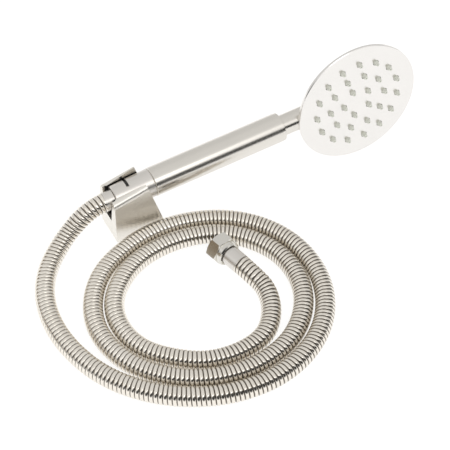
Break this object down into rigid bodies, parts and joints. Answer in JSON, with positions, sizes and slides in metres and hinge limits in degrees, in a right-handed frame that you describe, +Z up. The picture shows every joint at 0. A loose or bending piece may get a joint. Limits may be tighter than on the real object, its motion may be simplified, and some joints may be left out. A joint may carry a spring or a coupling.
{
  "type": "handheld shower head",
  "caption": "Round hand shower on a straight handle, seated by its conical hose nut in a wall bracket, with a ribbed metal hose coiled beside it",
  "frame": {"origin": "centre of the bounding box of everything but the hose, at table height", "axes": "+X from the bracket towards the head along the handle, +Z up, -Y the side the spray face looks to"},
  "size_m": [0.3699, 0.2228, 0.1099],
  "materials": {
    "satin_face": "satin nickel-like metal, very fine grain",
    "silicone": "soft, matt",
    "satin_shell": "satin nickel-like metal, very fine grain",
    "satin_neck": "satin nickel-like metal, very fine grain",
    "satin_ring": "satin nickel-like metal, very fine grain",
    "satin_sleeve": "satin nickel-like metal, very fine grain",
    "water_pipe": "white moulded",
    "seal": "soft, matt",
    "connector": "bare machined",
    "regulator": "black moulded",
    "washer": "soft, matt",
    "screen": "satin nickel-like metal, very fine grain",
    "satin_nut": "satin nickel-like metal, very fine grain",
    "bush": "black moulded",
    "spigot": "bare machined",
    "ferrule": "satin nickel-like metal, very fine grain",
    "hose": "interlocked ribbed metal, pitch about 3.4 mm, darker grooves",
    "ferrule_low": "satin nickel-like metal, very fine grain",
    "spigot_low": "bare machined",
    "satin_hex": "satin nickel-like metal, very fine grain",
    "washer_low": "soft, matt",
    "satin_bracket": "satin nickel-like metal, very fine grain",
    "liner": "black moulded",
    "plate": "black moulded"
  },
  "bodies": {
    "bracket": {"bracket_body": "satin_bracket", "socket_liner": "liner", "wall_plate": "plate", "hose": "hose", "lower_ferrule": "ferrule_low", "lower_spigot": "spigot_low"},
    "hose_end": {"upper_ferrule": "ferrule", "upper_spigot": "spigot"},
    "handset": {"cone_nut": "satin_nut", "swivel_bush": "bush", "filter_washer": "washer", "filter_screen": "screen", "thread_connector": "connector", "flow_regulator": "regulator", "handle_sleeve": "satin_sleeve", "inner_pipe": "water_pipe", "pipe_seals": "seal", "sleeve_ring": "satin_ring", "neck_tube": "satin_neck", "back_shell": "satin_shell", "nozzle_mat": "silicone", "spray_plate": "satin_face"},
    "union_nut": {"hex_nut": "satin_hex", "union_washer": "washer_low"}
  },
  "joints": [
    {"name": "handset_lift", "type": "slide", "parent": "bracket", "child": "hose_end", "axis": [0.9962, 0, 0.0872], "range_m": [0, 0.045]},
    {"name": "handset_swivel", "type": "hinge", "parent": "hose_end", "child": "handset", "pos_m": [-0.12022, 0, 0.03637], "axis": [0.9962, 0, 0.0872], "continuous": true},
    {"name": "union_nut_spin", "type": "hinge", "parent": "bracket", "child": "union_nut", "pos_m": [-0.07266, -0.07609, 0.0146], "axis": [-0.2419, 0.9703, 0], "continuous": true}
  ]
}
